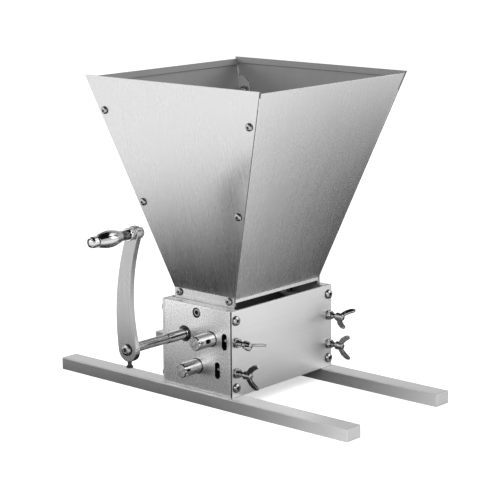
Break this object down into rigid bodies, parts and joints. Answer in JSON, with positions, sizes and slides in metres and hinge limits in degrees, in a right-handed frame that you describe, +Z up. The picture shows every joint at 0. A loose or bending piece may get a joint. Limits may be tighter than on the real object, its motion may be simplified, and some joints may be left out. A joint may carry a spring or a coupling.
{
  "type": "grain mill",
  "caption": "Hand-cranked roller grain mill: folded steel hopper over a roller box with eccentric gap adjusters and wing clamps, on two rails.",
  "frame": {"origin": "on the floor plane under the middle of the roller box, where the crushed grain falls out", "axes": "+X along the rollers away from the crank, +Y along the rails away from the main clamping side, +Z up"},
  "size_m": [0.3148, 0.37, 0.3106],
  "materials": {
    "hopper_sheet": "stainless sheet, brushed up and down",
    "blasted_plate": "bead-blasted plate",
    "satin_plate": "satin stainless sheet",
    "rail_bar": "drawn bar, lightly brushed along its length",
    "roller_steel": "turned steel with a knurled face",
    "polished_steel": "turned and polished",
    "crank_steel": "flat bar, satin ground",
    "bush_steel": "turned bright steel",
    "plated_fastener": "bright zinc plate"
  },
  "bodies": {
    "frame": {"near_rail": "rail_bar", "far_rail": "rail_bar", "near_end_plate": "blasted_plate", "far_end_plate": "blasted_plate", "front_side_plate": "satin_plate", "back_side_plate": "satin_plate", "near_drive_bush": "bush_steel", "far_drive_bush": "bush_steel", "clamp_washers": "plated_fastener", "clamp_lock_nuts": "plated_fastener", "captive_nuts": "plated_fastener", "side_plate_screws": "plated_fastener", "rail_screws": "plated_fastener", "hopper_fixing_screws": "plated_fastener", "hopper_fixing_nuts": "plated_fastener", "hopper_screws": "plated_fastener", "hopper_nuts": "plated_fastener", "near_hopper_panel": "hopper_sheet", "far_hopper_panel": "hopper_sheet", "front_hopper_panel": "hopper_sheet", "back_hopper_panel": "hopper_sheet"},
    "drive": {"drive_roller": "roller_steel", "crank_arm": "crank_steel", "crank_end_screw": "plated_fastener", "crank_set_screw": "plated_fastener", "grip_spindle": "polished_steel", "grip_tip_screw": "polished_steel", "grip_nut": "polished_steel"},
    "turning_grip": {"grip": "polished_steel"},
    "upper_near_cam": {"upper_near_adjuster": "polished_steel"},
    "upper_far_cam": {"upper_far_adjuster": "polished_steel"},
    "lower_near_cam": {"lower_near_adjuster": "polished_steel"},
    "lower_far_cam": {"lower_far_adjuster": "polished_steel"},
    "upper_idler": {"upper_roller": "roller_steel"},
    "lower_idler": {"lower_roller": "roller_steel"},
    "upper_near_clamp": {"upper_near_wing_screw": "plated_fastener"},
    "lower_near_clamp": {"lower_near_wing_screw": "plated_fastener"},
    "upper_far_clamp": {"upper_far_wing_screw": "plated_fastener"},
    "lower_far_clamp": {"lower_far_wing_screw": "plated_fastener"}
  },
  "joints": [
    {"name": "crank_spin", "type": "hinge", "parent": "frame", "child": "drive", "pos_m": [-0.1, 0.0155, 0.06599], "axis": [1, 0, 0], "continuous": true},
    {"name": "grip_spin", "type": "hinge", "parent": "drive", "child": "turning_grip", "pos_m": [-0.173, 0.006, 0.177], "axis": [1, 0, 0], "continuous": true},
    {"name": "upper_adjust", "type": "hinge", "parent": "frame", "child": "upper_near_cam", "pos_m": [-0.0695, -0.018, 0.06599], "axis": [1, 0, 0], "range_deg": [-90, 90]},
    {"name": "upper_far_adjust", "type": "hinge", "parent": "frame", "child": "upper_far_cam", "pos_m": [0.0695, -0.018, 0.06599], "axis": [1, 0, 0], "range_deg": [-90, 90]},
    {"name": "lower_adjust", "type": "hinge", "parent": "frame", "child": "lower_near_cam", "pos_m": [-0.0695, 0, 0.0365], "axis": [1, 0, 0], "range_deg": [-90, 90]},
    {"name": "lower_far_adjust", "type": "hinge", "parent": "frame", "child": "lower_far_cam", "pos_m": [0.0695, 0, 0.0365], "axis": [1, 0, 0], "range_deg": [-90, 90]},
    {"name": "upper_roller_spin", "type": "hinge", "parent": "upper_near_cam", "child": "upper_idler", "pos_m": [0, -0.018, 0.06699], "axis": [1, 0, 0], "continuous": true},
    {"name": "lower_roller_spin", "type": "hinge", "parent": "lower_near_cam", "child": "lower_idler", "pos_m": [0, 0.00089, 0.03603], "axis": [1, 0, 0], "continuous": true},
    {"name": "upper_near_clamp_turn", "type": "hinge", "parent": "frame", "child": "upper_near_clamp", "pos_m": [-0.0695, -0.045, 0.06599], "axis": [0, -1, 0], "range_deg": [0, 360]},
    {"name": "lower_near_clamp_turn", "type": "hinge", "parent": "frame", "child": "lower_near_clamp", "pos_m": [-0.0695, -0.045, 0.0365], "axis": [0, -1, 0], "range_deg": [0, 360]},
    {"name": "upper_far_clamp_turn", "type": "hinge", "parent": "frame", "child": "upper_far_clamp", "pos_m": [0.0695, -0.045, 0.06599], "axis": [0, -1, 0], "range_deg": [0, 360]},
    {"name": "lower_far_clamp_turn", "type": "hinge", "parent": "frame", "child": "lower_far_clamp", "pos_m": [0.0695, -0.045, 0.0365], "axis": [0, -1, 0], "range_deg": [0, 360]}
  ],
  "couplings": [
    {"joint": "upper_far_adjust", "follows": "upper_adjust", "ratio": 1},
    {"joint": "lower_far_adjust", "follows": "lower_adjust", "ratio": 1},
    {"joint": "upper_roller_spin", "follows": "crank_spin", "ratio": -1},
    {"joint": "lower_roller_spin", "follows": "crank_spin", "ratio": -1}
  ]
}
